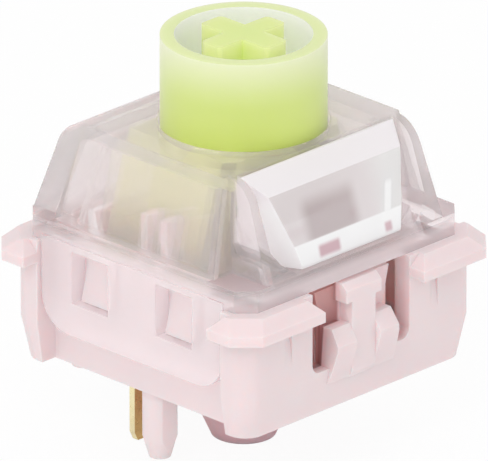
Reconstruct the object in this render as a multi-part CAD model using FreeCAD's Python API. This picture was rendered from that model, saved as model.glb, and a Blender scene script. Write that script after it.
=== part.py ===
import FreeCAD, Part
import math
import os

# Keyboard switch with a round-shrouded cross stem, a two-shell housing and two terminal pins.
# The origin is on the stem's axis in the circuit board's top plane. X runs along the clip sides,
# -Y is the side with the light guide, +Z is up. All lengths are in millimetres.

V = FreeCAD.Vector

# Travel and running fits
travel = 3.6
slide_clearance = 0.07
shoulder_gap = 0.03
seat_clearance = 0.05

# How far cutting shapes stand past a surface, how far joined shapes run into each other,
# and how near two coordinates are when they count as the same
cut_over = 1.0
overlap = 0.3
same = 1e-6

# Base housing
stand_off = 0.3
foot_r = 0.5
foot_inset_x = 1.925
foot_inset_y = 2.375
body_half = 6.975
body_corner_r = 0.9
taper_top_z = 2.2
taper_in = 0.3
floor_thick = 1.0
clip_wall = 0.9
latch_wall = 0.8
cavity_corner_r = 0.4
plate_seat_z = 5.0
flange_overhang = 0.825
flange_chamfer = 1.03
flange_edge = 0.46
flange_bevel = 0.54
flange_end_gap = 0.05
recess_depth = 1.075
pillar_width = 1.515

# Plate clip, one on each clip side
window_half_x = 2.95
window_bottom_z = 2.3
window_corner_r = 0.45
rib_half_x = 0.7
rib_stand = 0.165
rib_root_z = 1.55
rib_blend_z = 1.9
clip_plate_thick = 0.325
clip_plate_half_x_top = 2.26
clip_plate_half_x_low = 1.87
clip_plate_top_z = 5.7
wing_half_x = 1.8
wing_half_x_low = 2.0
wing_top_z = 4.05
wing_catch_z = 3.35
wing_catch_land = 0.25
wing_catch_depth = 0.445
wing_root_z = 1.6
cap_half_x = 1.06
cap_root_z = 5.05
cap_top_z = 5.9
cap_bevel = 0.3

# Shallow grooves in the -Y side, deepest under the flanges and running out downwards
groove_x = 4.18
groove_width = 0.5
groove_depth = 0.2
groove_height = 1.85

# Latch hooks on the recessed sides
hook_y = 2.5
hook_width = 1.65
hook_top_z = 5.9
hook_bottom_z = 3.72
hook_depth = 0.55

# Centre post, side pegs and spring guide
post_r = 1.98
post_bottom_z = -3.3
post_chamfer_z = -2.0
post_end_r = 1.4
post_floor = 0.8
pole_r = 1.28
guide_wall = 0.37
guide_top_z = 3.6
peg_x = 5.08
peg_r = 0.75
peg_taper_z = -1.86
peg_end_r = 0.47
peg_bottom_z = -2.83
peg_flat_y = 0.6

# Light well in the base, behind the clip plate of the -Y side
well_half_x = 1.9
well_front_wall = 0.225
well_depth = 1.65
well_wall = 0.5
well_top_z = 4.6

# Top housing
rim_inset = 0.275
rim_chamfer = 0.72
rim_height = 1.0
roof_z = 11.17
shoulder_ledge = 0.25
shoulder_lean = 1.15
shoulder_front_step = 2.15
shoulder_back_step = 1.75
shoulder_front_lean = 0.52
shoulder_back_lean = 0.68
lens_end_step = 1.35
lens_end_lean = 0.27
lens_side_ledge = 0.1
lens_side_lean = 1.5
plain_end_step = 0.8
plain_end_lean = 0.65
plain_side_lean = 1.3
roof_edge_r = 1.5
shell_wall = 0.87
roof_thick = 0.9
roof_hole_r = 3.65
roof_hole_chamfer = 0.06
flap_thick = 0.81
flap_gap = 0.07
flap_bottom_z = 2.1
flap_corner_r = 1.6
flap_window_width = 2.15
flap_window_bottom_z = 3.62
flap_lead = 0.3

# Light guide, a clear block in the slope of the -Y side
guide_side_wall = 0.73
guide_mid_z = 8.2
guide_low_z = 7.6
guide_low_in = 0.4
guide_foot_in = 1.2
guide_depth = 2.42
pocket_back_wall = 0.38
pane_top_z = 10.3
pane_top_in = 0.62
pane_low_z = 8.1
pane_low_in = 1.35
pane_inset = 0.03
guide_top_drop = 0.12
guide_foot_inset = 0.3
guide_foot_height = 0.18

# Guide rails in the base, which run beside a tongue in each side of the stem
rail_top_z = 8.1

# Stem
shroud_r = 3.568
shroud_wall = 0.62
stem_top_z = 15.08
cross_length = 4.0
cross_arm_x = 1.29
cross_arm_y = 1.13
cross_rise = 0.06
cross_depth = 3.5
cross_corner_r = 0.22
slider_bottom_z = 5.5
slider_side_gap = 0.31
slider_half_x_top = 3.47
slider_y0 = -2.6
slider_back_gap = 0.555
slider_chamfer = 0.45
slider_wall = 0.7
slider_roof = 1.4
rail_groove_half_y = 0.85
rail_groove_depth = 0.8
tongue_half_y = 0.32
leg_x = 2.25
leg_width = 0.8
leg_bottom_z = 5.3
leg_top_z = 9.3
leg_lead = 0.12

# Return spring
wire_d = 0.22
spring_mean_r = 1.9
spring_turns = 10.0
wire_sides = 6
spring_seat_z = 9.4

# Contacts
blade = 0.31
pin_width = 0.78
pin_bottom_z = -3.2
pin_tip_in = 0.2
pin_tip_height = 0.4
fixed_pin_x = -3.81
fixed_pin_y = 2.54
leaf_pin_x = 2.54
leaf_pin_inset = 0.995
slot_clearance = 0.05
fixed_plate_half_x = 0.8
fixed_plate_top_z = 4.75
fixed_strip_depth = 0.75
leaf_lift = 0.1
leaf_thick = 0.15
leaf_half_x = 2.75
leaf_strip_height = 0.8
leaf_arm_width = 0.7
leaf_tab_half_x = 0.5
leaf_tab_top_z = 4.85
leaf_top_z = 5.8
leaf_end_x = 3.4
bump_z = 5.5
bump_r = 0.3
bump_rise = 0.12
leaf_swing = 0.28
contact_gap = 0.3
contact_z = 4.3
contact_length = 0.9
contact_width = 0.24
contact_rise = 0.12
terminal_plate_x0 = 0.9
terminal_plate_x1 = 3.6
terminal_plate_top_z = 3.2
backing_depth_gap = 0.05

# Places that follow from the sizes above
floor_z = stand_off + floor_thick
flange_half = body_half + flange_overhang
flange_top_z = plate_seat_z + flange_edge + flange_bevel
recess_x = body_half - recess_depth
recess_half_y = body_half - pillar_width
cavity_half_x = recess_x - latch_wall
cavity_half_y = body_half - clip_wall
foot_x = body_half - foot_inset_x
foot_y = body_half - foot_inset_y
clip_back_y = cavity_half_y + clip_plate_thick
rib_face_y = body_half + rib_stand
wing_catch_y = body_half + wing_catch_depth
well_y1 = cavity_half_y - well_front_wall
well_y0 = well_y1 - well_depth
rim_half = body_half - rim_inset
rim_top_z = flange_top_z + rim_height
shoulder_half_x = rim_half - shoulder_ledge
shoulder_front_y = rim_half - shoulder_front_step
shoulder_back_y = rim_half - shoulder_back_step
lens_end_half_x = rim_half - lens_end_step
plain_end_half_x = rim_half - plain_end_step
lens_side_y = rim_half - lens_side_ledge
lens_slope = lens_side_lean / (roof_z - rim_top_z)
guide_half_x = lens_end_half_x - guide_side_wall
guide_back_y = lens_side_y - guide_depth
bore_r = pole_r + slide_clearance
guide_r = bore_r + guide_wall
spring_pocket_r = spring_mean_r + wire_d / 2 + slide_clearance
slider_top_z = roof_z - roof_thick - shoulder_gap
flap_x0 = recess_x + flap_gap
flap_x1 = flap_x0 + flap_thick
slider_half_x = cavity_half_x - slider_side_gap
rail_groove_x = slider_half_x - rail_groove_depth
leaf_pin_y = cavity_half_y - leaf_pin_inset
leaf_back_y = leaf_pin_y - blade / 2
leaf_front_y = leaf_back_y - leaf_thick
hinge_z = floor_z + leaf_lift
moving_point_y = leaf_front_y - contact_rise
fixed_point_y = moving_point_y - contact_gap
fixed_plate_y1 = fixed_point_y - contact_rise
fixed_plate_y0 = fixed_plate_y1 - blade
slider_y1 = fixed_plate_y0 - slider_back_gap
swing_ratio = leaf_swing / (contact_z - hinge_z)
cam_slope = swing_ratio * (bump_z - hinge_z) / travel
cam_y = leaf_front_y - bump_rise - shoulder_gap


def box(x0, x1, y0, y1, z0, z1):
    return Part.makeBox(x1 - x0, y1 - y0, z1 - z0, V(x0, y0, z0))


def cylinder(r, z0, z1, x=0.0, y=0.0):
    return Part.makeCylinder(r, z1 - z0, V(x, y, z0))


def cone(r0, z0, r1, z1, x=0.0, y=0.0):
    return Part.makeCone(r0, r1, z1 - z0, V(x, y, z0))


def face(points):
    return Part.Face(Part.makePolygon(points + [points[0]]))


def prism_z(points, z0, z1):
    return face([V(x, y, z0) for x, y in points]).extrude(V(0, 0, z1 - z0))


def prism_x(points, x0, x1):
    return face([V(x0, y, z) for y, z in points]).extrude(V(x1 - x0, 0, 0))


def prism_y(points, y0, y1):
    return face([V(x, y0, z) for x, z in points]).extrude(V(0, y1 - y0, 0))


def loft(points0, z0, points1, z1):
    wires = [
        Part.makePolygon([V(x, y, z) for x, y in points + [points[0]]])
        for points, z in ((points0, z0), (points1, z1))
    ]
    return Part.makeLoft(wires, True, True)


def rectangle(x0, x1, y0, y1):
    return [(x0, y0), (x1, y0), (x1, y1), (x0, y1)]


def chamfered(hx, hy, c):
    return [
        (-hx + c, -hy), (hx - c, -hy), (hx, -hy + c), (hx, hy - c),
        (hx - c, hy), (-hx + c, hy), (-hx, hy - c), (-hx, -hy + c),
    ]


def span(edge):
    """How far an edge's two ends lie apart along each axis."""
    first, last = [vertex.Point for vertex in edge.Vertexes]
    return V(abs(first.x - last.x), abs(first.y - last.y), abs(first.z - last.z))


def upright_edges(shape):
    return [edge for edge in shape.Edges if span(edge).x < same and span(edge).y < same]


def edges_at(shape, z):
    return [edge for edge in shape.Edges if all(abs(v.Z - z) < same for v in edge.Vertexes)]


def rounded_box(x0, x1, y0, y1, z0, z1, r):
    block = box(x0, x1, y0, y1, z0, z1)
    return block.makeFillet(r, upright_edges(block))


def rounded_wire(half, r, z):
    block = rounded_box(-half, half, -half, half, z, z + cut_over, r)
    lowest = min(block.Faces, key=lambda f: f.CenterOfMass.z)
    return lowest.OuterWire


def mirrored_x(shape):
    return shape.mirror(V(0, 0, 0), V(1, 0, 0))


def mirrored_y(shape):
    return shape.mirror(V(0, 0, 0), V(0, 1, 0))


def both_x(shape):
    return [shape, mirrored_x(shape)]


def both_y(shape):
    return [shape, mirrored_y(shape)]


def four_corners(shape):
    return [copy for half in both_x(shape) for copy in both_y(half)]


def joined(shapes):
    return shapes[0].fuse(shapes[1:]).removeSplitter()


def without(shape, cuts):
    return shape.cut(cuts).removeSplitter()


def flange_corner():
    """One of the four corner flanges that rest on the mounting plate."""
    def outline(inset):
        x0 = window_half_x + flange_end_gap + inset
        y0 = recess_half_y + inset
        far = flange_half - inset
        c = flange_chamfer
        return [(x0, y0), (far, y0), (far, far - c), (far - c, far), (x0, far)]
    edge = prism_z(outline(0), plate_seat_z, plate_seat_z + flange_edge)
    bevel = loft(outline(0), plate_seat_z + flange_edge, outline(flange_bevel), flange_top_z)
    return edge.fuse(bevel)


def clip():
    """The sprung tongue of the -Y side: a thin plate with a capped rib and two catching wings."""
    wing = prism_x(
        [
            (-clip_back_y, wing_top_z), (-body_half, wing_top_z),
            (-wing_catch_y, wing_catch_z), (-wing_catch_y, wing_catch_z - wing_catch_land),
            (-body_half, wing_root_z), (-clip_back_y, wing_root_z),
        ],
        -wing_half_x_low, wing_half_x_low,
    )
    wing_outline = prism_y(
        [
            (-wing_half_x_low, wing_root_z), (wing_half_x_low, wing_root_z),
            (wing_half_x, wing_top_z), (-wing_half_x, wing_top_z),
        ],
        -wing_catch_y, -clip_back_y,
    )
    rib = prism_x(
        [
            (-clip_back_y, cap_root_z), (-rib_face_y, cap_root_z), (-rib_face_y, rib_blend_z),
            (-body_half, rib_root_z), (-clip_back_y, rib_root_z),
        ],
        -rib_half_x, rib_half_x,
    )
    cap = prism_x(
        [
            (-clip_back_y, cap_root_z), (-rib_face_y, cap_root_z),
            (-rib_face_y, cap_top_z - cap_bevel), (-rib_face_y + cap_bevel, cap_top_z),
            (-clip_back_y, cap_top_z),
        ],
        -cap_half_x, cap_half_x,
    )
    plate = prism_y(
        [
            (-clip_plate_half_x_low, wing_root_z), (clip_plate_half_x_low, wing_root_z),
            (clip_plate_half_x_low, wing_top_z), (clip_plate_half_x_top, clip_plate_top_z),
            (-clip_plate_half_x_top, clip_plate_top_z), (-clip_plate_half_x_low, wing_top_z),
        ],
        -clip_back_y, -cavity_half_y,
    )
    relief = box(
        -rib_half_x, rib_half_x, -wing_catch_y - cut_over, -rib_face_y,
        wing_root_z - cut_over, wing_top_z + cut_over,
    )
    return joined([wing.common(wing_outline).cut(relief), rib, cap, plate])


def clip_window():
    """The opening in the wall round the clip, with rounded lower corners."""
    block = box(
        -window_half_x, window_half_x, -body_half - cut_over, -cavity_half_y,
        window_bottom_z, flange_top_z + cut_over,
    )
    low = [edge for edge in edges_at(block, window_bottom_z) if span(edge).x < same]
    return block.makeFillet(window_corner_r, low)


def pin_slot(x, y):
    hx = pin_width / 2 + slot_clearance
    hy = blade / 2 + slot_clearance
    return box(x - hx, x + hx, y - hy, y + hy, stand_off - cut_over, floor_z + cut_over)


def base_housing():
    low_half = body_half - taper_in
    tapered = Part.makeLoft(
        [rounded_wire(low_half, body_corner_r, stand_off),
         rounded_wire(body_half, body_corner_r, taper_top_z)],
        True, True,
    )
    upper = rounded_box(
        -body_half, body_half, -body_half, body_half, taper_top_z, flange_top_z, body_corner_r
    )
    solid = joined([tapered, upper] + four_corners(flange_corner()))
    cavity = rounded_box(
        -cavity_half_x, cavity_half_x, -cavity_half_y, cavity_half_y,
        floor_z, flange_top_z + cut_over, cavity_corner_r,
    )
    recess = box(
        recess_x, flange_half + cut_over, -recess_half_y, recess_half_y,
        stand_off - cut_over, flange_top_z + cut_over,
    )
    groove = prism_x(
        [
            (-body_half - cut_over, plate_seat_z), (-body_half + groove_depth, plate_seat_z),
            (-body_half, plate_seat_z - groove_height),
            (-body_half - cut_over, plate_seat_z - groove_height),
        ],
        groove_x, groove_x + groove_width,
    )
    shell = without(
        solid, [cavity] + both_x(recess) + both_y(clip_window()) + both_x(groove)
    )

    hook = prism_y(
        [(recess_x - overlap, hook_top_z), (recess_x, hook_top_z),
         (recess_x + hook_depth, hook_bottom_z), (recess_x - overlap, hook_bottom_z)],
        hook_y - hook_width / 2, hook_y + hook_width / 2,
    )
    foot = cylinder(foot_r, 0, floor_z, foot_x, foot_y)
    post = joined([
        cylinder(post_r, post_chamfer_z, floor_z),
        cone(post_end_r, post_bottom_z, post_r, post_chamfer_z),
    ])
    peg = joined([
        cylinder(peg_r, peg_taper_z, floor_z, peg_x),
        cone(peg_end_r, peg_bottom_z, peg_r, peg_taper_z, peg_x),
    ])
    peg = peg.cut(
        box(peg_x - peg_r, peg_x + peg_r, -peg_r - cut_over, -peg_flat_y,
            peg_bottom_z - cut_over, stand_off)
    )
    guide = cylinder(guide_r, floor_z - overlap, guide_top_z)
    rail = box(
        rail_groove_x + slide_clearance, cavity_half_x, tongue_half_y + slide_clearance,
        rail_groove_half_y - slide_clearance, floor_z - overlap, rail_top_z,
    )
    rail_root = box(
        rail_groove_x + rail_groove_depth + slide_clearance, cavity_half_x + overlap,
        -rail_groove_half_y + slide_clearance, rail_groove_half_y - slide_clearance,
        floor_z - overlap, flange_top_z,
    )
    well = box(
        -well_half_x - well_wall, well_half_x + well_wall, -cavity_half_y, -well_y0 + well_wall,
        floor_z - overlap, well_top_z,
    )
    well_inside = box(
        -well_half_x, well_half_x, -cavity_half_y, -well_y0, floor_z, well_top_z + cut_over
    )
    well_hole = box(
        -well_half_x, well_half_x, -well_y1, -well_y0, stand_off - cut_over, floor_z + cut_over
    )
    backing = box(
        terminal_plate_x0, terminal_plate_x1, leaf_pin_y + blade / 2 + backing_depth_gap,
        cavity_half_y + overlap, floor_z - overlap, terminal_plate_top_z,
    )
    added = joined(
        [shell, post, guide, well.cut(well_inside), backing]
        + both_y(clip()) + four_corners(hook) + four_corners(foot) + both_x(peg)
        + four_corners(rail) + both_x(rail_root)
    )
    return without(added, [
        cylinder(bore_r, post_bottom_z + post_floor, guide_top_z + cut_over),
        well_hole,
        pin_slot(fixed_pin_x, fixed_pin_y),
        pin_slot(leaf_pin_x, leaf_pin_y),
    ])


def tower(inset, z_low, z_top):
    """The raised part of the top housing, or with an inset the space inside it."""
    def at(low, lean, z):
        return low - lean * (z - rim_top_z) / (roof_z - rim_top_z) - inset

    def shoulders(z):
        hx = at(shoulder_half_x, shoulder_lean, z)
        return rectangle(
            -hx, hx, -at(shoulder_front_y, shoulder_front_lean, z),
            at(shoulder_back_y, shoulder_back_lean, z),
        )

    def lens_end(z):
        hx = at(lens_end_half_x, lens_end_lean, z)
        return rectangle(-hx, hx, -at(lens_side_y, lens_side_lean, z), overlap)

    def plain_end(z):
        hx = at(plain_end_half_x, plain_end_lean, z)
        return rectangle(-hx, hx, -overlap, at(rim_half, plain_side_lean, z))

    parts = [loft(shoulders(z_low), z_low, shoulders(z_top), z_top)]
    for end in (lens_end, plain_end):
        block = loft(end(z_low), z_low, end(z_top), z_top)
        outer = max((edge for edge in edges_at(block, z_top) if span(edge).y < same),
                    key=lambda edge: abs(edge.CenterOfMass.y))
        parts.append(block.makeFillet(roof_edge_r - inset, [outer]))
    return joined(parts)


def flap():
    """The latch skirt of the +X side, with the two windows that snap over the hooks."""
    half_y = recess_half_y - flap_gap
    block = box(flap_x0, flap_x1, -half_y, half_y, flap_bottom_z, flange_top_z + overlap)
    low = [edge for edge in edges_at(block, flap_bottom_z) if span(edge).y < same]
    block = block.makeFillet(flap_corner_r, low)
    lead = prism_y(
        [(flap_x0, flap_bottom_z), (flap_x0 + flap_lead, flap_bottom_z),
         (flap_x0, flap_bottom_z + flap_lead)],
        -half_y, half_y,
    )
    windows = [
        box(flap_x0 - cut_over, flap_x1 + cut_over, y - flap_window_width / 2,
            y + flap_window_width / 2, flap_window_bottom_z, flange_top_z)
        for y in (-hook_y, hook_y)
    ]
    return block.cut([lead] + windows)


def guide_outline(clearance):
    """Outline of the light guide in the XZ plane, and with a clearance that of its pocket."""
    top = roof_z + cut_over
    c = clearance
    half = [
        (guide_half_x + c, top), (guide_half_x + c, guide_mid_z),
        (guide_half_x - guide_low_in + c, guide_low_z),
        (guide_half_x - guide_foot_in + c, rim_top_z),
    ]
    return half + [(-x, z) for x, z in reversed(half)]


def top_housing():
    rim = prism_z(chamfered(rim_half, rim_half, rim_chamfer), flange_top_z, rim_top_z)
    outside = joined([rim, tower(0, rim_top_z, roof_z)] + both_x(flap()))
    pocket_back = prism_y(
        guide_outline(seat_clearance + pocket_back_wall), -rim_half, -guide_back_y + pocket_back_wall
    )
    inside = tower(shell_wall, flange_top_z, roof_z - roof_thick).cut(pocket_back)
    hole = joined([
        cylinder(roof_hole_r, roof_z - roof_thick - cut_over, roof_z + cut_over),
        cone(roof_hole_r, roof_z - roof_hole_chamfer, roof_hole_r + roof_hole_chamfer, roof_z),
    ])
    pocket = prism_y(guide_outline(seat_clearance), -rim_half - cut_over, -guide_back_y)
    return without(outside, [inside, hole, pocket])


def light_guide():
    back_y = guide_back_y + seat_clearance
    top_z = roof_z - guide_top_drop
    foot_y = rim_half - guide_foot_inset

    def pane_y(z):
        return lens_side_y - lens_slope * (z - rim_top_z) - pane_inset
    profile = [
        (-back_y, top_z), (-back_y - guide_top_drop, top_z),
        (-pane_y(pane_top_z), pane_top_z), (-pane_y(pane_low_z), pane_low_z),
        (-foot_y, rim_top_z + guide_foot_height), (-foot_y, rim_top_z), (-back_y, rim_top_z),
    ]
    block = prism_x(profile, -guide_half_x, guide_half_x)
    block = block.common(prism_y(guide_outline(0), -rim_half, 0))
    pane_corner = V(guide_half_x - pane_top_in, -pane_y(pane_top_z), pane_top_z)
    along = V(guide_half_x - pane_low_in, -pane_y(pane_low_z), pane_low_z) - pane_corner
    inward = V(guide_half_x, -back_y - guide_top_drop, top_z) - pane_corner
    bevel = face([
        pane_corner - along - inward, pane_corner + along * 2 - inward,
        pane_corner + along * 2 + inward * 2, pane_corner - along + inward * 2,
    ]).extrude(V(rim_half, 0, 0))
    return without(block, both_x(bevel))


def cross():
    arms = [
        rounded_box(-hx, hx, -hy, hy, stem_top_z - cross_depth, stem_top_z + cross_rise,
                    cross_corner_r)
        for hx, hy in ((cross_length / 2, cross_arm_y / 2), (cross_arm_x / 2, cross_length / 2))
    ]
    return arms[0].fuse(arms[1])


def leg():
    """One of the two cams that hold the leaf's arms back from the fixed contact."""
    def cam(z):
        return cam_y - cam_slope * (z - bump_z)
    root = slider_y1 - slider_wall
    return prism_x(
        [(root, leg_bottom_z), (cam(leg_bottom_z) - leg_lead, leg_bottom_z),
         (cam(leg_bottom_z + leg_lead), leg_bottom_z + leg_lead), (cam(leg_top_z), leg_top_z),
         (root, leg_top_z)],
        leg_x - leg_width / 2, leg_x + leg_width / 2,
    )


def stem():
    def outline(half_x, inset=0.0):
        hx = half_x - inset
        y0 = slider_y0 + inset
        y1 = slider_y1 - inset
        c = slider_chamfer
        return [(-hx + c, y0), (hx - c, y0), (hx, y0 + c), (hx, y1), (-hx, y1), (-hx, y0 + c)]

    def half_at(z):
        rise = (z - slider_bottom_z) / (slider_top_z - slider_bottom_z)
        return slider_half_x + (slider_half_x_top - slider_half_x) * rise
    hollow_top = slider_top_z - slider_roof
    body = loft(outline(slider_half_x), slider_bottom_z, outline(slider_half_x_top), slider_top_z)
    hollow = loft(
        outline(half_at(slider_bottom_z), slider_wall), slider_bottom_z,
        outline(half_at(hollow_top), slider_wall), hollow_top,
    )
    boss = cylinder(spring_pocket_r + slider_wall, slider_bottom_z, hollow_top)
    groove = box(
        rail_groove_x, slider_half_x + cut_over, tongue_half_y, rail_groove_half_y,
        slider_bottom_z - cut_over, slider_top_z + cut_over,
    )
    groove_wall = box(
        rail_groove_x - slider_wall, slider_half_x, -rail_groove_half_y - slider_wall,
        rail_groove_half_y + slider_wall, slider_bottom_z, hollow_top,
    ).common(body)
    floor_of_shroud = stem_top_z - cross_depth
    shroud = cylinder(shroud_r, slider_top_z - overlap, stem_top_z).cut(
        cylinder(shroud_r - shroud_wall, floor_of_shroud, stem_top_z + cut_over)
    )
    blocked = cylinder(shroud_r, slider_bottom_z, slider_top_z).cut(body)
    shroud = shroud.cut(blocked)
    pocket = cylinder(spring_pocket_r, slider_bottom_z - cut_over, spring_seat_z)
    pole_bottom = post_bottom_z + post_floor + travel + shoulder_gap
    pole = cylinder(pole_r, pole_bottom, spring_seat_z)
    skirt = joined([body.cut(hollow), boss.common(body), shroud, cross()]
                   + both_x(groove_wall) + both_x(leg()))
    return joined([without(skirt, four_corners(groove) + [pocket]), pole])


def return_spring():
    """The coil spring. Its round wire is drawn with flat sides, so that the coil meshes lightly."""
    r = wire_d / 2
    low = floor_z + r
    height = spring_seat_z - floor_z - wire_d
    helix = Part.makeHelix(height / spring_turns, height, spring_mean_r)
    helix.translate(V(0, 0, low))
    corners = [
        V(spring_mean_r + r * math.cos(turn), 0, low + r * math.sin(turn))
        for turn in (math.tau * side / wire_sides for side in range(wire_sides))
    ]
    section = Part.makePolygon(corners + [corners[0]])
    return Part.Wire(helix.Edges).makePipeShell([section], True, True)


def pin(x, y, top_z):
    """A terminal blade's pin with its bevelled tip."""
    hx = pin_width / 2
    outline = [
        (x - hx + pin_tip_in, pin_bottom_z), (x + hx - pin_tip_in, pin_bottom_z),
        (x + hx, pin_bottom_z + pin_tip_height), (x + hx, top_z), (x - hx, top_z),
        (x - hx, pin_bottom_z + pin_tip_height),
    ]
    return prism_y(outline, y - blade / 2, y + blade / 2)


def fixed_terminal():
    strip_top = floor_z + blade
    x0 = fixed_pin_x - pin_width / 2
    jog = box(x0, x0 + pin_width, fixed_pin_y - blade / 2, fixed_plate_y1, floor_z, strip_top)
    strip = box(
        x0, fixed_plate_half_x, fixed_plate_y1 - fixed_strip_depth, fixed_plate_y1,
        floor_z, strip_top,
    )
    plate = box(
        -fixed_plate_half_x, fixed_plate_half_x, fixed_plate_y0, fixed_plate_y1,
        floor_z, fixed_plate_top_z,
    )
    return joined([pin(fixed_pin_x, fixed_pin_y, strip_top), jog, strip, plate])


def fixed_contact_point():
    return box(
        -contact_length / 2, contact_length / 2, fixed_plate_y1, fixed_point_y,
        contact_z - contact_width / 2, contact_z + contact_width / 2,
    )


def leaf_terminal():
    plate = box(
        terminal_plate_x0, terminal_plate_x1, leaf_back_y, leaf_back_y + blade,
        floor_z, terminal_plate_top_z,
    )
    return joined([pin(leaf_pin_x, leaf_pin_y, floor_z + blade), plate])


def moving_leaf():
    """The sprung blade: a clamped strip, two arms with bumps for the cams and a contact tab."""
    strip_top = hinge_z + leaf_strip_height
    strip = box(-leaf_half_x, leaf_end_x, leaf_front_y, leaf_back_y, hinge_z, strip_top)
    arm = box(
        leaf_half_x - leaf_arm_width, leaf_half_x, leaf_front_y, leaf_back_y, hinge_z, leaf_top_z
    )
    tab = box(
        -leaf_tab_half_x, leaf_tab_half_x, leaf_front_y, leaf_back_y, hinge_z, leaf_tab_top_z
    )
    ball_r = (bump_r ** 2 + bump_rise ** 2) / (2 * bump_rise)
    ball = Part.makeSphere(
        ball_r, V(leaf_half_x - leaf_arm_width / 2, leaf_front_y - bump_rise + ball_r, bump_z)
    )
    cap = box(
        leaf_half_x - leaf_arm_width, leaf_half_x, leaf_front_y - bump_rise, leaf_back_y,
        bump_z - bump_r, bump_z + bump_r,
    )
    return joined([strip, tab] + both_x(arm) + both_x(ball.common(cap)))


def moving_contact_point():
    return box(
        -contact_width / 2, contact_width / 2, moving_point_y, leaf_front_y,
        contact_z - contact_length / 2, contact_z + contact_length / 2,
    )


PIECES = {
    "base_housing": base_housing,
    "top_housing": top_housing,
    "light_guide": light_guide,
    "stem": stem,
    "return_spring": return_spring,
    "fixed_terminal": fixed_terminal,
    "fixed_contact_point": fixed_contact_point,
    "leaf_terminal": leaf_terminal,
    "moving_leaf": moving_leaf,
    "moving_contact_point": moving_contact_point,
}

os.makedirs("parts", exist_ok=True)
for name, make in PIECES.items():
    shape = make()
    solids = shape.Solids
    if len(solids) == 1:
        shape = solids[0]
    print(name, "solids", len(solids), "valid", shape.isValid(), "volume", round(shape.Volume, 3))
    shape.exportStep(os.path.join("parts", name + ".step"))
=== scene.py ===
import bmesh
import bpy
import math
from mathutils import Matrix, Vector


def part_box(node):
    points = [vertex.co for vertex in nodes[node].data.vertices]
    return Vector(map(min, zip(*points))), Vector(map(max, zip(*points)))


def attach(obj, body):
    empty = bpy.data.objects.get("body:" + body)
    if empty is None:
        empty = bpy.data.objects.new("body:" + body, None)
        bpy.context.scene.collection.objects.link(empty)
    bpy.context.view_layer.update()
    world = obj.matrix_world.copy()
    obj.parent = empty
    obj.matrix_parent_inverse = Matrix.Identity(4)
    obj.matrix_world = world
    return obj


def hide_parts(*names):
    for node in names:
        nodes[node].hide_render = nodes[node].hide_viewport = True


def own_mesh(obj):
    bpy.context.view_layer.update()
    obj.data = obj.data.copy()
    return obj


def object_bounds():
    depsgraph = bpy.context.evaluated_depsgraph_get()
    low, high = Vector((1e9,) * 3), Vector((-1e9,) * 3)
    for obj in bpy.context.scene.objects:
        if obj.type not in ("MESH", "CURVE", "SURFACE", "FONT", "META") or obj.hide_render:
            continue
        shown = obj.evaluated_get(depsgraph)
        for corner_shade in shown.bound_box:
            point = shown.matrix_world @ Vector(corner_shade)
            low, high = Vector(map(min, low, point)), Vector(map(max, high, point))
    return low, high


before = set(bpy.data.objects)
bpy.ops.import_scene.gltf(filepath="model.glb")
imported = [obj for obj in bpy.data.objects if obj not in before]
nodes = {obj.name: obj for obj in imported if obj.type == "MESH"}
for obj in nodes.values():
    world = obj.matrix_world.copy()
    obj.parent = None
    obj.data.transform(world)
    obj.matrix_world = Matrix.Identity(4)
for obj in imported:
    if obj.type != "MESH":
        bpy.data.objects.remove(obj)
cad_low, cad_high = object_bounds()

MM = 0.001


def mm(*lengths):
    """Lengths in millimetres, turned into metres."""
    return [length * MM for length in lengths]


def rgb(red, green, blue):
    """A colour given as it shows on screen, 0 to 255, turned into linear light."""
    def linear(value):
        value /= 255
        return value / 12.92 if value <= 0.04045 else ((value + 0.055) / 1.055) ** 2.4
    return (linear(red), linear(green), linear(blue), 1.0)


# The camera is fitted to the photo. Its view is nearly without perspective, so the lens is long.
AZIMUTH = math.radians(-45.536)
ELEVATION = math.radians(22.917)
PIXELS_PER_MM = 23.515
PHOTO_WIDTH = 488
AIM_HEIGHT = 6.004 * MM
AIM_RIGHT = 0.015 * MM
LENS = 1400.0
SENSOR = 36.0
CLIP_START_DIVISOR = 100
CLIP_END_FACTOR = 10

# Studio.
WHITE = (1, 1, 1, 1)
WORLD_LIGHT = 0.84
WORLD_SEEN = 1.0
FLOOR_HALF = 400 * MM
FLOOR_TONE = rgb(252, 252, 252)
FLOOR_GLOW_SHARE = 0.93

# Sizes of the patches in which tone and gloss change a little, and of the fine grain.
PINK_PATCHES = 2.5 * MM
CLEAR_PATCHES = 2.0 * MM
GLOSS_PATCHES = 0.8 * MM
PINK_GRAIN = 0.06 * MM
GREEN_GRAIN = 0.08 * MM
GRAIN_DETAIL = 3.0
GRAIN_DEPTH = 0.003 * MM
METAL_PATCHES = 0.6 * MM
METAL_GLOSS_PATCHES = 0.3 * MM
SCRATCH_SIZE = 0.05 * MM
SCRATCH_DETAIL = 4.0
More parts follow.
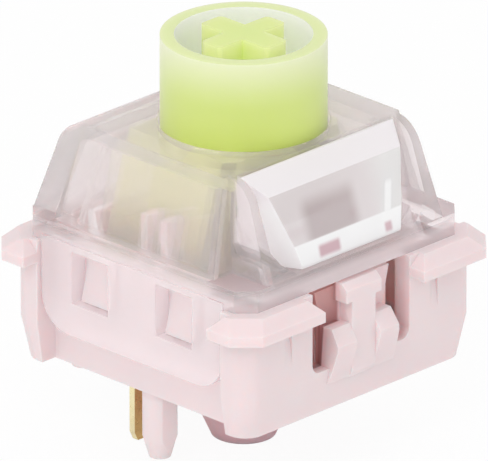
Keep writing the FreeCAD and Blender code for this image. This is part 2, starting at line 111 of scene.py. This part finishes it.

# A pair in mm() or named FACING is a mask: it starts at the first number and is full at the
# second. Width and depth are the distances from the part's two upright middle planes, and radius
# is that from its axis. Any other pair holds the values for a share of 0 and a share of 1.

# Pink plastic, with painted shade in the slots beside the plate clips, on the clip plate's shaded
# half, in the room inside the base and on the centre post, and painted light on the side pegs.
SLOT_DEPTH = mm(6.85, 6.6)
SLOT_WIDTH = mm(3.1, 2.8)
SLOT_FLOOR = mm(2.1, 2.4)
SHADED_HALF = mm(-0.75, -0.95)
CLIP_PLATE_DEPTH = mm(6.55, 6.45)
CLIP_PLATE_HEIGHT = mm(4.0, 5.4)
ROOM_DEPTH = mm(6.3, 6.0)
ROOM_WIDTH = mm(5.6, 5.4)
ROOM_TOP = mm(6.0, 5.6)
POST_RADIUS = mm(2.3, 2.1)
PEG_RADIUS = mm(3.0, 4.0)
BELOW_BOARD = mm(0.1, -0.1)
PINK_ROUGHNESS = (0.4, 0.52)
PINK = rgb(236, 222, 223)
PINK_PATCH_TONE = rgb(233, 217, 219)
# Painted shade: a deeper pink in the slots beside the plate clips.
SLOT_SHADE_PINK = rgb(234, 207, 209)
# Painted shade on the clip plate's left half, darker low down.
CLIP_SHADE_LOW = rgb(168, 116, 116)
CLIP_SHADE_HIGH = rgb(196, 150, 148)
# Painted shade: a deeper pink inside the base and deep in the slots, darker still on the shaded half.
ROOM_SHADE_PINK = rgb(255, 208, 204)
SLOT_SHADE = rgb(204, 144, 142)
# Painted shade: a deeper pink on the centre post below the board.
POST_SHADE_PINK = rgb(236, 196, 202)
# Painted light: a paler pink on the side pegs below the board.
PEG_LIT_PINK = rgb(238, 226, 227)

# Milky plastic: the sides with the latch flaps, the rim and flaps below the walls, and the
# ledge in the corners beside the light guide, which is painted grey as painted shade.
FLAP_SIDE = mm(5.4, 6.2)
RIM_HEIGHT = mm(6.9, 6.4)
LEDGE_FACING_UP = (0.9, 0.97)
LEDGE_HEIGHT = mm(7.5, 7.2)
LEDGE_WIDTH = mm(5.1, 5.3)
LEDGE_FRONT = mm(-4.4, -4.6)
RIM_VEIL = (0.75, 1.0)
RIM_PINK_SHARE = (0.6, 0.0)
VEIL_TRANSMISSION = (0.7, 0.2)
STRAIGHT_THROUGH = (0.3, 0.52)
MILKY_ROUGHNESS = (0.04, 0.08)
MILKY = rgb(255, 252, 253)
MILKY_PATCH_TONE = rgb(255, 249, 250)
RIM_MILKY = rgb(255, 240, 243)
# Painted shade: grey on the ledge in the corners beside the light guide.
LEDGE_SHADE_GREY = rgb(212, 194, 196)
MILKY_CLEAR = rgb(255, 250, 251)
MILKY_SHADOW_PASS = 0.97

# Light guide: the front pane between bevels painted white as painted reflection, a painted
# highlight on the pane's right side, and a slanting band of painted glare on it.
PANE_FACING_FRONT = (0.86, 0.93)
PANE_FOOT = mm(8.0, 8.1)
BEVEL_TOP = mm(9.5, 10.5)
PANE_HIGHLIGHT_SIDE = mm(1.2, 3.0)
GLARE_SLOPE = -0.375
GLARE_LEFT = mm(-1.2, -0.7)
GLARE_RIGHT = mm(-0.1, -0.5)
GLARE_TOP = mm(9.9, 9.0)
GLARE_COVER = 0.85
PANE_COVER = (0.88, 0.66)
GUIDE_ROUGHNESS = (0.06, 0.12)
GUIDE_SHADOW_PASS = 0.6
# Painted reflection: white on the bevels and in the glare band.
GUIDE_REFLECTION_WHITE = rgb(255, 255, 255)
GUIDE_PATCH_TONE = rgb(252, 252, 253)
BEVEL_TOP_REFLECTION = rgb(248, 243, 246)
PANE_TONE = rgb(250, 242, 243)
# Painted highlight: the pane whiter towards its right side.
PANE_HIGHLIGHT_TONE = rgb(255, 254, 253)
GUIDE_CLEAR = rgb(250, 249, 250)

# Painted into the pane for what shows through it: the dark hollow behind as painted shade, and
# the pink base at left and right. Left, right, low, high and blur in millimetres, and the tone.
HOLLOW_BEHIND = (-2.7, 1.1, 7.4, 10.0, 0.8)
HOLLOW_SHADE_TONE = rgb(214, 200, 201)
BASE_BEHIND_LEFT = (-2.0, -0.5, 7.1, 7.85, 0.25)
BASE_LEFT_TONE = rgb(214, 180, 188)
BASE_BEHIND_RIGHT = (2.0, 2.6, 7.1, 7.7, 0.2)
BASE_RIGHT_TONE = rgb(220, 190, 197)

# Green plastic: the round shroud with its bore, the cross in it, and the slider below. Painted
# light makes the shroud's upper edge, the bore and the cross's sides paler; painted shade
# darkens the slider's lower end and corners.
SHROUD_RADIUS = mm(2.3, 2.8)
BORE_RADIUS = mm(3.2, 3.0)
BORE_FLOOR_RADIUS = mm(3.1, 3.0)
BORE_FLOOR_HEIGHT = mm(12.4, 12.0)
SHROUD_LOW = mm(10.8, 13.2)
SHROUD_HIGH = mm(12.8, 15.1)
SLIDER_HEIGHT = mm(10.9, 10.2)
SLIDER_END = mm(6.3, 7.4)
SLIDER_LOW = mm(7.0, 9.0)
CORNER_FACING = (0.25, 0.4)
SHADOW_PASS_HEIGHT = mm(10.4, 11.2)
GREEN_SHADOW_PASS = 0.92
SHROUD_FOOT_GREEN = rgb(212, 230, 116)
SHROUD_GREEN = rgb(206, 221, 128)
# Painted light: the shroud paler towards its thin upper edge, where light comes through.
SHROUD_EDGE_LIT_GREEN = rgb(222, 229, 184)
RING_GREEN = rgb(214, 227, 152)
CROSS_GREEN = rgb(215, 230, 130)
# Painted light: the cross's sides paler than its top.
CROSS_SIDE_LIT_GREEN = rgb(232, 246, 162)
# Painted light: the bore's upright walls white, for light coming through the thin shroud.
BORE_LIT_WHITE = rgb(255, 255, 254)
BORE_FLOOR_PALE = rgb(252, 254, 240)
# Painted shade: the slider dark olive at its lower end, darkest at the very end.
SLIDER_END_SHADE = rgb(124, 116, 24)
SLIDER_LOW_SHADE = rgb(182, 178, 94)
SLIDER_GREEN = rgb(216, 222, 150)
# Painted shade: dark olive on the slider's slanting corner faces.
CORNER_SHADE_OLIVE = rgb(128, 124, 74)
GREEN_CLEAR = rgb(248, 252, 238)

# Metal.
BROAD_FACING = (0.6, 0.9)
ROUGHNESS_SPREAD = 0.12

# Rounding of edges on the copies of CAD nodes.
WELD_DISTANCE = 0.0005 * MM
FLAT_ANGLE = math.radians(1.5)
BEVEL_ANGLE = math.radians(28)
SMOOTH_ANGLE = math.radians(40)
HOUSING_ROUND = 0.05 * MM
GUIDE_ROUND = 0.03 * MM
STEM_ROUND = 0.05 * MM

# Return spring.
WIRE_RADIUS = 0.11 * MM
TURNS = 10.0
STEPS_PER_TURN = 40
WIRE_SIDES = 12


class Graph:
    """The node tree of a material or world, written as nested calls."""

    def __init__(self, owner, output):
        owner.use_nodes = True
        self.owner = owner
        self.tree = owner.node_tree
        self.tree.nodes.clear()
        self.output = self.tree.nodes.new(output)

    def feed(self, socket, value):
        """Link another socket into this one, or give it a constant value."""
        if isinstance(value, bpy.types.NodeSocket):
            self.tree.links.new(value, socket)
        else:
            socket.default_value = value

    def node(self, kind, inputs=None, **settings):
        made = self.tree.nodes.new(kind)
        for name, value in settings.items():
            setattr(made, name, value)
        for name, value in (inputs or {}).items():
            self.feed(made.inputs[name], value)
        return made

    def math(self, operation, first, second=0.0, third=0.0, clamp=False):
        inputs = {0: first, 1: second, 2: third}
        made = self.node("ShaderNodeMath", inputs, operation=operation, use_clamp=clamp)
        return made.outputs[0]

    def product(self, first, *others):
        for other in others:
            first = self.math("MULTIPLY", first, other)
        return first

    def size(self, value):
        return self.math("ABSOLUTE", value)

    def larger(self, first, second):
        return self.math("MAXIMUM", first, second)

    def radius(self, x, y):
        return self.math("SQRT", self.math("ADD", self.product(x, x), self.product(y, y)))

    def mix(self, factor, first, second):
        """Mix two colours. The colour sockets of the mix node are told apart only by number."""
        made = self.node("ShaderNodeMix", {0: factor, 6: first, 7: second}, data_type="RGBA")
        return made.outputs[2]

    def split(self, vector):
        made = self.node("ShaderNodeSeparateXYZ", {0: vector})
        return made.outputs["X"], made.outputs["Y"], made.outputs["Z"]

    def place(self):
        return self.node("ShaderNodeTexCoord").outputs["Object"]

    def normal(self):
        return self.node("ShaderNodeNewGeometry").outputs["Normal"]

    def ray(self, kind):
        return self.node("ShaderNodeLightPath").outputs[kind]

    def seen(self):
        """One for what the camera sees, straight or through a clear piece."""
        return self.larger(self.ray("Is Camera Ray"), self.ray("Is Transmission Ray"))

    def noise(self, size, detail=2.0):
        inputs = {"Vector": self.place(), "Scale": 1 / size, "Detail": detail}
        return self.node("ShaderNodeTexNoise", inputs).outputs["Fac"]

    def mask(self, value, start, full):
        """A smooth step from 0 at start to 1 at full."""
        inputs = {0: value, 1: start, 2: full}
        made = self.node("ShaderNodeMapRange", inputs, interpolation_type="SMOOTHSTEP")
        return made.outputs[0]

    def between(self, share, low, high):
        """An even change from low to high, as share goes from 0 to 1."""
        return self.node("ShaderNodeMapRange", {0: share, 3: low, 4: high}).outputs[0]

    def bump(self, height, distance):
        inputs = {"Height": height, "Distance": distance, "Strength": 1.0}
        return self.node("ShaderNodeBump", inputs).outputs[0]

    def surface(self, inputs):
        return self.node("ShaderNodeBsdfPrincipled", inputs).outputs[0]

    def clear(self, tint):
        return self.node("ShaderNodeBsdfTransparent", {"Color": tint}).outputs[0]

    def blend(self, share, first, second):
        """Mix two shaders."""
        return self.node("ShaderNodeMixShader", {0: share, 1: first, 2: second}).outputs[0]

    def finish(self, shader):
        self.tree.links.new(shader, self.output.inputs["Surface"])
        return self.owner


def material_graph(name):
    return Graph(bpy.data.materials.new(name), "ShaderNodeOutputMaterial")


def pink_plastic():
    """Satin plastic that scatters light, with painted shade where less light comes in and painted
    light on the pegs.
    """
    g = material_graph("pink_plastic")
    x, y, z = g.split(g.place())
    width = g.size(x)
    depth = g.size(y)
    radius = g.radius(x, y)
    raised = g.mask(z, *SLOT_FLOOR)
    slot = g.product(g.mask(depth, *SLOT_DEPTH), g.mask(width, *SLOT_WIDTH), raised)
    shaded = g.mask(x, *SHADED_HALF)
    clip_plate = g.product(slot, g.product(g.mask(depth, *CLIP_PLATE_DEPTH), shaded))
    clip_shade = g.mix(g.mask(z, *CLIP_PLATE_HEIGHT), CLIP_SHADE_LOW, CLIP_SHADE_HIGH)
    inside = g.mask(depth, *ROOM_DEPTH)
    room = g.product(raised, g.product(inside, g.mask(width, *ROOM_WIDTH)), g.mask(z, *ROOM_TOP))
    below = g.mask(z, *BELOW_BOARD)
    tone = g.mix(g.noise(PINK_PATCHES), PINK, PINK_PATCH_TONE)
    # Painted shade in the slots, on the clip plate's shaded half, inside the base and on the post;
    # painted light on the side pegs.
    for share, other in (
        (slot, SLOT_SHADE_PINK),
        (clip_plate, clip_shade),
        (room, ROOM_SHADE_PINK),
        (g.product(slot, inside), g.mix(shaded, ROOM_SHADE_PINK, SLOT_SHADE)),
        (g.product(g.mask(radius, *POST_RADIUS), below), POST_SHADE_PINK),
        (g.product(g.mask(radius, *PEG_RADIUS), below), PEG_LIT_PINK),
    ):
        tone = g.mix(share, tone, other)
    return g.finish(g.surface({
        "Base Color": tone,
        "Roughness": g.between(g.noise(GLOSS_PATCHES), *PINK_ROUGHNESS),
        "Subsurface Weight": 0.6,
        "Subsurface Radius": (1.0, 0.36, 0.32),
        "Subsurface Scale": 0.8 * MM,
        "Normal": g.bump(g.noise(PINK_GRAIN, GRAIN_DETAIL), GRAIN_DEPTH),
    }))


def milky_plastic():
    """Clear plastic with a milky veil, thicker in the latch flaps and the rim, and painted shade on
    the ledge.
    """
    g = material_graph("milky_plastic")
    x, y, z = g.split(g.place())
    up = g.split(g.normal())[2]
    side = g.mask(g.size(x), *FLAP_SIDE)
    low = g.mask(z, *RIM_HEIGHT)
    ledge = g.product(
        g.mask(up, *LEDGE_FACING_UP), g.mask(z, *LEDGE_HEIGHT),
        g.mask(g.size(x), *LEDGE_WIDTH), g.mask(y, *LEDGE_FRONT),
    )
    veil = g.larger(g.product(low, g.between(side, *RIM_VEIL)), ledge)
    tone = g.mix(g.noise(CLEAR_PATCHES), MILKY, MILKY_PATCH_TONE)
    tone = g.mix(g.product(low, g.between(side, *RIM_PINK_SHARE)), tone, RIM_MILKY)
    # Painted shade: grey on the ledge beside the light guide.
    tone = g.mix(ledge, tone, LEDGE_SHADE_GREY)
    body = g.surface({
        "Base Color": tone,
        "Roughness": g.between(g.noise(GLOSS_PATCHES), *MILKY_ROUGHNESS),
        "IOR": 1.36,
        "Transmission Weight": g.between(veil, *VEIL_TRANSMISSION),
        "Subsurface Weight": 0.1,
        "Subsurface Radius": (1.0, 0.9, 0.92),
        "Subsurface Scale": 0.6 * MM,
    })
    shadow = g.product(g.ray("Is Shadow Ray"), MILKY_SHADOW_PASS)
    share = g.larger(shadow, g.between(g.product(low, side), *STRAIGHT_THROUGH))
    return g.finish(g.blend(share, body, g.clear(MILKY_CLEAR)))


def clear_plastic():
    """The light guide: bevels painted white as reflection, and a clearer pane showing the hollow
    behind in painted shade.
    """
    g = material_graph("clear_plastic")
    x, y, z = g.split(g.place())
    front = g.product(g.split(g.normal())[1], -1.0)
    slant = g.math("MULTIPLY_ADD", z, GLARE_SLOPE, x)

    def patch(left, right, low, high, blur):
        """A rectangle with soft edges, in millimetres."""
        sides = g.product(g.mask(x, *mm(left, left + blur)), g.mask(x, *mm(right, right - blur)))
        ends = g.product(g.mask(z, *mm(low, low + blur)), g.mask(z, *mm(high, high - blur)))
        return g.product(sides, ends)

    pane = g.product(g.mask(front, *PANE_FACING_FRONT), g.mask(z, *PANE_FOOT))
    # Painted glare: a slanting white band across the pane.
    glare = g.product(
        g.mask(slant, *GLARE_LEFT), g.mask(slant, *GLARE_RIGHT), g.mask(z, *GLARE_TOP)
    )
    # Painted reflection: the bevels white, a little tinted at the top.
    bevels = g.mix(g.noise(CLEAR_PATCHES), GUIDE_REFLECTION_WHITE, GUIDE_PATCH_TONE)
    bevels = g.mix(g.mask(z, *BEVEL_TOP), bevels, BEVEL_TOP_REFLECTION)
    # Painted highlight: the pane whiter towards its right side.
    glass = g.mix(g.mask(x, *PANE_HIGHLIGHT_SIDE), PANE_TONE, PANE_HIGHLIGHT_TONE)
    # Painted shade: a grey patch for the dark hollow behind the pane.
    glass = g.mix(patch(*HOLLOW_BEHIND), glass, HOLLOW_SHADE_TONE)
    tone = g.mix(pane, bevels, glass)
    tone = g.mix(glare, tone, GUIDE_REFLECTION_WHITE)
    tone = g.mix(patch(*BASE_BEHIND_LEFT), tone, BASE_LEFT_TONE)
    tone = g.mix(patch(*BASE_BEHIND_RIGHT), tone, BASE_RIGHT_TONE)
    body = g.surface({
        "Base Color": tone,
        "Roughness": g.between(g.noise(GLOSS_PATCHES), *GUIDE_ROUGHNESS),
    })
    cover = g.larger(g.between(pane, *PANE_COVER), g.product(glare, GLARE_COVER))
    passed = g.product(g.ray("Is Shadow Ray"), GUIDE_SHADOW_PASS)
    share = g.product(cover, g.math("SUBTRACT", 1.0, passed))
    return g.finish(g.blend(share, g.clear(GUIDE_CLEAR), body))


def green_plastic():
    """Yellow-green plastic that lets light in, painted paler towards its thin upper edges as painted
    light.
    """
    g = material_graph("green_plastic")
    x, y, z = g.split(g.place())
    facing_x, facing_y, facing_z = g.split(g.normal())
    radius = g.radius(x, y)
    upright = g.math("SUBTRACT", 1.0, g.size(facing_z), clamp=True)
    level = g.math("SUBTRACT", 1.0, upright)
    shroud = g.mask(radius, *SHROUD_RADIUS)
    bore = g.product(shroud, g.mask(radius, *BORE_RADIUS))
    bore_floor = g.product(g.mask(z, *BORE_FLOOR_HEIGHT), g.mask(radius, *BORE_FLOOR_RADIUS))
    corner_shade = g.mask(g.size(g.product(facing_x, facing_y)), *CORNER_FACING)

    outer = g.mix(g.mask(z, *SHROUD_LOW), SHROUD_FOOT_GREEN, SHROUD_GREEN)
    # Painted light: the shroud paler towards its thin upper edge.
    outer = g.mix(g.mask(z, *SHROUD_HIGH), outer, SHROUD_EDGE_LIT_GREEN)
    outer = g.mix(upright, RING_GREEN, outer)
    # Painted light: the cross's sides paler than its top.
    cross = g.mix(upright, CROSS_GREEN, CROSS_SIDE_LIT_GREEN)
    # Painted shade: the slider dark olive towards its lower end.
    slider = g.mix(g.mask(z, *SLIDER_END), SLIDER_END_SHADE, SLIDER_LOW_SHADE)
    slider = g.mix(g.mask(z, *SLIDER_LOW), slider, SLIDER_GREEN)
    # Painted shade: dark olive on the slider's slanting corner faces.
    slider = g.mix(corner_shade, slider, CORNER_SHADE_OLIVE)
    # Painted light: the bore's upright walls white.
    tone = g.mix(g.product(bore, upright), g.mix(shroud, cross, outer), BORE_LIT_WHITE)
    tone = g.mix(g.product(bore_floor, level), tone, BORE_FLOOR_PALE)
    tone = g.mix(g.mask(z, *SLIDER_HEIGHT), tone, slider)
    body = g.surface({
        "Base Color": tone,
        "Roughness": 0.42,
        "Subsurface Weight": 0.6,
        "Subsurface Radius": (0.9, 1.0, 0.88),
        "Subsurface Scale": 1.9 * MM,
        "Sheen Weight": 0.45,
        "Sheen Roughness": 0.5,
        "Normal": g.bump(g.noise(GREEN_GRAIN, GRAIN_DETAIL), GRAIN_DEPTH),
    })
    shadow = g.product(g.ray("Is Shadow Ray"), GREEN_SHADOW_PASS)
    share = g.product(shadow, g.mask(z, *SHADOW_PASS_HEIGHT))
    return g.finish(g.blend(share, body, g.clear(GREEN_CLEAR)))


def metal(name, light, dark, broad, roughness, scratch):
    """Stamped or drawn metal. The broad faces, which look along Y, get a tone of their own, mostly
    darker, as painted shade.
    """
    g = material_graph(name)
    along_y = g.mask(g.size(g.split(g.normal())[1]), *BROAD_FACING)
    gloss = g.noise(METAL_GLOSS_PATCHES)
    return g.finish(g.surface({
        # Painted shade: the faces that look along Y take the broad tone.
        "Base Color": g.mix(along_y, g.mix(g.noise(METAL_PATCHES), light, dark), broad),
        "Metallic": 1.0,
        "Roughness": g.between(gloss, roughness, roughness + ROUGHNESS_SPREAD),
        "Normal": g.bump(g.noise(SCRATCH_SIZE, SCRATCH_DETAIL), scratch),
    }))


def add_object(name, data):
    made = bpy.data.objects.new(name, data)
    bpy.context.scene.collection.objects.link(made)
    return made


def look_along(made, direction):
    """Turn a camera or lamp so that it looks along a direction."""
    made.rotation_mode = "QUATERNION"
    made.rotation_quaternion = direction.to_track_quat("-Z", "Y")


def add_camera():
    data = bpy.data.cameras.new("camera")
    data.lens = LENS
    data.sensor_width = SENSOR
    camera = add_object("camera", data)
    back = Vector((
        math.sin(AZIMUTH) * math.cos(ELEVATION),
        -math.cos(AZIMUTH) * math.cos(ELEVATION),
        math.sin(ELEVATION),
    ))
    right = Vector((math.cos(AZIMUTH), math.sin(AZIMUTH), 0))
    width = PHOTO_WIDTH / PIXELS_PER_MM * MM
    distance = width * LENS / SENSOR
    aim = Vector((0, 0, AIM_HEIGHT)) + right * AIM_RIGHT
    camera.location = aim + back * distance
    look_along(camera, -back)
    data.clip_start = distance / CLIP_START_DIVISOR
    data.clip_end = distance * CLIP_END_FACTOR
    bpy.context.scene.camera = camera


def add_area_lamp(name, place, size, power):
    data = bpy.data.lights.new(name, "AREA")
    data.shape = "DISK"
    data.size = size
    data.energy = power
    lamp = add_object(name, data)
    lamp.location = Vector(place)
    look_along(lamp, Vector((0, 0, AIM_HEIGHT)) - lamp.location)


def add_floor():
    level = cad_low.z
    half = FLOOR_HALF
    corners = [(-half, -half, level), (half, -half, level), (half, half, level), (-half, half, level)]
    mesh = bpy.data.meshes.new("floor")
    mesh.from_pydata(corners, [], [(0, 1, 2, 3)])
    floor = add_object("floor", mesh)
    g = material_graph("floor_white")
    paper = g.node("ShaderNodeBsdfDiffuse", {"Color": FLOOR_TONE}).outputs[0]
    glow = g.node("ShaderNodeEmission", {"Color": WHITE, "Strength": 1.0}).outputs[0]
    share = g.product(g.seen(), FLOOR_GLOW_SHARE)
    mesh.materials.append(g.finish(g.blend(share, paper, glow)))


def add_world():
    g = Graph(bpy.data.worlds.new("studio"), "ShaderNodeOutputWorld")
    strength = g.between(g.seen(), WORLD_LIGHT, WORLD_SEEN)
    background = g.node("ShaderNodeBackground", {"Color": WHITE, "Strength": strength})
    bpy.context.scene.world = g.finish(background.outputs[0])


def dress(name, material):
    piece = nodes[name]
    piece.data.materials.clear()
    piece.data.materials.append(material)


def softened(name, body, material, width):
    """A copy of a CAD node with its sharp edges slightly rounded, as moulded plastic has them."""
    work = bmesh.new()
    work.from_mesh(nodes[name].data)
    bmesh.ops.remove_doubles(work, verts=work.verts, dist=WELD_DISTANCE)
    bmesh.ops.dissolve_limit(work, angle_limit=FLAT_ANGLE, verts=work.verts, edges=work.edges)
    sharp = [
        edge for edge in work.edges
        if edge.is_manifold and edge.calc_face_angle() > BEVEL_ANGLE
    ]
    bmesh.ops.bevel(
        work, geom=sharp, offset=width, offset_type="OFFSET", segments=2, profile=0.5,
        affect="EDGES", clamp_overlap=True,
    )
    mesh = bpy.data.meshes.new(name + "_soft")
    work.to_mesh(mesh)
    work.free()
    mesh.materials.append(material)
    piece = add_object(name + "_soft", mesh)
    mesh.shade_smooth()
    mesh.set_sharp_from_angle(angle=SMOOTH_ANGLE)
    weighted = piece.modifiers.new("weighted", "WEIGHTED_NORMAL")
    weighted.keep_sharp = True
    weighted.weight = 100
    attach(piece, body)
    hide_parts(name)


def coil_spring(material):
    """The return spring as a round wire, with even turns from end to end."""
    low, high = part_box("return_spring")
    mean = (high[0] - low[0]) / 2 - WIRE_RADIUS
    steps = STEPS_PER_TURN * int(TURNS)
    bottom = low[2] + WIRE_RADIUS
    height = high[2] - low[2] - 2 * WIRE_RADIUS
    points = []
    for step in range(steps + 1):
        share = step / steps
        turn = math.tau * TURNS * share
        centre = Vector((mean * math.cos(turn), mean * math.sin(turn), bottom + height * share))
        out = Vector((math.cos(turn), math.sin(turn), 0))
        for side in range(WIRE_SIDES):
            angle = math.tau * side / WIRE_SIDES
            rim = math.cos(angle) * out + Vector((0, 0, math.sin(angle)))
            points.append(centre + WIRE_RADIUS * rim)
    faces = []
    for step in range(steps):
        for side in range(WIRE_SIDES):
            a = step * WIRE_SIDES + side
            b = step * WIRE_SIDES + (side + 1) % WIRE_SIDES
            faces.append((a, b, b + WIRE_SIDES, a + WIRE_SIDES))
    faces.append(tuple(reversed(range(WIRE_SIDES))))
    faces.append(tuple(range(steps * WIRE_SIDES, (steps + 1) * WIRE_SIDES)))
    mesh = bpy.data.meshes.new("coil_spring")
    mesh.from_pydata(points, [], faces)
    mesh.shade_smooth()
    mesh.materials.append(material)
    spring = add_object("coil_spring", mesh)
    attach(spring, "housing")
    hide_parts("return_spring")
    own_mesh(spring)


add_camera()
add_floor()
add_world()
add_area_lamp("key", place=mm(-90, -40, 90), size=70 * MM, power=0.038)
add_area_lamp("fill", place=mm(30, -110, 50), size=90 * MM, power=0.004)
bpy.context.scene.view_settings.view_transform = "Standard"

pink = pink_plastic()
milky = milky_plastic()
clear = clear_plastic()
green = green_plastic()
brass = metal(
    "terminal_brass", light=rgb(253, 247, 210), dark=rgb(246, 232, 176),
    broad=rgb(226, 196, 132), roughness=0.2, scratch=0.001 * MM,
)
copper = metal(
    "leaf_copper", light=rgb(226, 180, 140), dark=rgb(214, 164, 122),
    broad=rgb(206, 156, 114), roughness=0.3, scratch=0.002 * MM,
)
gold = metal(
    "contact_gold", light=rgb(245, 214, 130), dark=rgb(236, 200, 112),
    broad=rgb(232, 196, 108), roughness=0.2, scratch=0.001 * MM,
)
steel = metal(
    "spring_steel", light=rgb(222, 222, 224), dark=rgb(205, 206, 210),
    broad=rgb(210, 210, 214), roughness=0.25, scratch=0.001 * MM,
)
for name, material in {
    "base_housing": pink,
    "top_housing": milky,
    "light_guide": clear,
    "stem": green,
    "return_spring": steel,
    "fixed_terminal": brass,
    "leaf_terminal": brass,
    "moving_leaf": copper,
    "fixed_contact_point": gold,
    "moving_contact_point": gold,
}.items():
    dress(name, material)

softened("base_housing", "housing", pink, HOUSING_ROUND)
softened("top_housing", "housing", milky, HOUSING_ROUND)
softened("light_guide", "housing", clear, GUIDE_ROUND)
softened("stem", "stem", green, STEM_ROUND)
coil_spring(steel)
